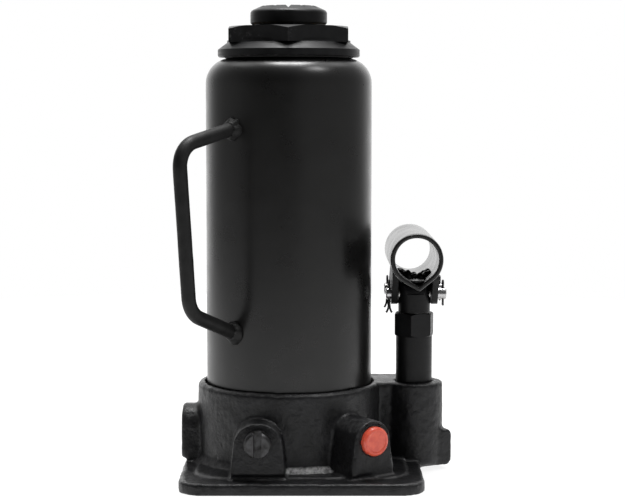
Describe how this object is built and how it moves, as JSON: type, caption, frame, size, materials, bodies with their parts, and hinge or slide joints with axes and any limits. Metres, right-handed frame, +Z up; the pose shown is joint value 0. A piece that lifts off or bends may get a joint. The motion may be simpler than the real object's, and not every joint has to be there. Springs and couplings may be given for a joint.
{
  "type": "bottle jack",
  "caption": "Hydraulic bottle jack with a cast foot, lifting ram with extension screw, hand pump with tubular lever socket, release valve and side carrying handle.",
  "frame": {"origin": "on the underside of the base, under the ram's axis", "axes": "+Z up along the ram; +X towards the pump; -Y is the front, where the lever socket opens and the release valve faces"},
  "size_m": [0.1347, 0.13, 0.23],
  "materials": {
    "black_casting": "rough-cast surface under semi-gloss black paint",
    "black_paint": "smooth satin black paint on drawn steel",
    "dull_black_paint": "thick, dull black paint on rod, plate and weld",
    "black_steel": "black-finished machined steel",
    "zinc_dark_steel": "dull, darkened plain steel",
    "ground_steel": "ground and honed steel",
    "hard_chrome": "hard-chromed and polished, lightly oiled",
    "spring_steel": "oiled spring steel",
    "bearing_steel": "polished bearing steel",
    "copper": "annealed copper",
    "bronze": "turned bronze",
    "brass_gauze": "fine brass gauze",
    "seal_rubber": "black nitrile rubber",
    "seal_polyurethane": "amber polyurethane",
    "red_plastic": "coral-red moulded plastic, soft gloss"
  },
  "bodies": {
    "base": {"base_casting": "black_casting", "carry_handle": "dull_black_paint", "cylinder_gasket": "copper", "filler_plug": "seal_rubber", "handle_welds": "dull_black_paint", "link_foot_clips": "spring_steel", "link_foot_pin": "zinc_dark_steel", "outlet_retainer": "zinc_dark_steel", "outlet_spring": "spring_steel", "pressure_cylinder": "ground_steel", "pump_cylinder": "black_steel", "pump_gland_ring": "seal_polyurethane", "pump_washer": "copper", "ram_guide_bush": "bronze", "ram_wiper": "seal_polyurethane", "reservoir_tank": "black_paint", "safety_adjuster": "zinc_dark_steel", "safety_cap": "red_plastic", "safety_spring": "spring_steel", "side_port_plug": "zinc_dark_steel", "side_port_washer": "copper", "suction_filter": "brass_gauze", "suction_port_plug": "zinc_dark_steel", "tank_lower_gasket": "seal_rubber", "tank_top_gasket": "seal_rubber", "top_nut": "black_steel"},
    "ram": {"ram": "hard_chrome", "piston_seal": "seal_polyurethane", "piston_backup_ring": "seal_polyurethane"},
    "stop_ring": {"screw_stop_ring": "ground_steel"},
    "screw": {"extension_screw": "black_steel", "stop_ring_circlip": "spring_steel"},
    "plunger": {"pump_plunger": "ground_steel", "plunger_seal": "seal_polyurethane"},
    "lever": {"handle_socket": "black_paint", "bracket_ears": "dull_black_paint", "plunger_pin": "ground_steel", "fulcrum_pin": "ground_steel", "pin_cotters": "zinc_dark_steel", "pin_washers": "zinc_dark_steel", "fulcrum_spacer": "zinc_dark_steel"},
    "link": {"left_link_plate": "dull_black_paint", "right_link_plate": "dull_black_paint"},
    "release_valve_ball": {"release_ball": "bearing_steel"},
    "release_valve_screw": {"release_screw": "zinc_dark_steel", "release_o_ring": "seal_rubber"},
    "inlet_valve_ball": {"inlet_ball": "bearing_steel"},
    "outlet_valve_ball": {"outlet_ball": "bearing_steel"},
    "safety_valve_ball": {"safety_ball": "bearing_steel", "safety_guide": "zinc_dark_steel"}
  },
  "joints": [
    {"name": "ram_lift", "type": "slide", "parent": "base", "child": "ram", "axis": [0, 0, 1], "range_m": [0, 0.155]},
    {"name": "screw_travel", "type": "slide", "parent": "ram", "child": "stop_ring", "axis": [0, 0, 1], "range_m": [0, 0.0801]},
    {"name": "screw_turn", "type": "hinge", "parent": "stop_ring", "child": "screw", "pos_m": [0, 0, 0.11], "axis": [0, 0, 1], "range_deg": [0, 5760]},
    {"name": "plunger_stroke", "type": "slide", "parent": "base", "child": "plunger", "axis": [0, 0, 1], "range_m": [0, 0.0159]},
    {"name": "lever_swing", "type": "hinge", "parent": "plunger", "child": "lever", "pos_m": [0.0625, 0, 0.0878], "axis": [-1, 0, 0], "range_deg": [0, 45]},
    {"name": "link_rock", "type": "hinge", "parent": "base", "child": "link", "pos_m": [0.0625, 0.017, 0.052], "axis": [1, 0, 0], "range_deg": [0, 10.2]},
    {"name": "release_travel", "type": "slide", "parent": "base", "child": "release_valve_ball", "axis": [0, -1, 0], "range_m": [0, 0.0023]},
    {"name": "release_turn", "type": "hinge", "parent": "release_valve_ball", "child": "release_valve_screw", "pos_m": [-0.014, -0.05, 0.0233], "axis": [0, -1, 0], "range_deg": [0, 540]},
    {"name": "inlet_ball_lift", "type": "slide", "parent": "base", "child": "inlet_valve_ball", "axis": [0, 0, 1], "range_m": [0, 0.001]},
    {"name": "outlet_ball_lift", "type": "slide", "parent": "base", "child": "outlet_valve_ball", "axis": [0, 0, 1], "range_m": [0, 0.001], "stiffness_N_per_m": 300, "springref_m": -0.001, "deforming": ["outlet_spring"]},
    {"name": "safety_ball_lift", "type": "slide", "parent": "base", "child": "safety_valve_ball", "axis": [0.5299, -0.848, 0], "range_m": [0, 0.0008], "stiffness_N_per_m": 5000, "springref_m": -0.002, "deforming": ["safety_spring"]}
  ],
  "couplings": [
    {"joint": "screw_travel", "follows": "screw_turn", "m_per_rad": 0.00079577},
    {"joint": "plunger_stroke", "follows": "lever_swing", "m_per_rad": 0.02015},
    {"joint": "link_rock", "follows": "lever_swing", "ratio": 0.225},
    {"joint": "release_travel", "follows": "release_turn", "m_per_rad": 0.00023873}
  ]
}
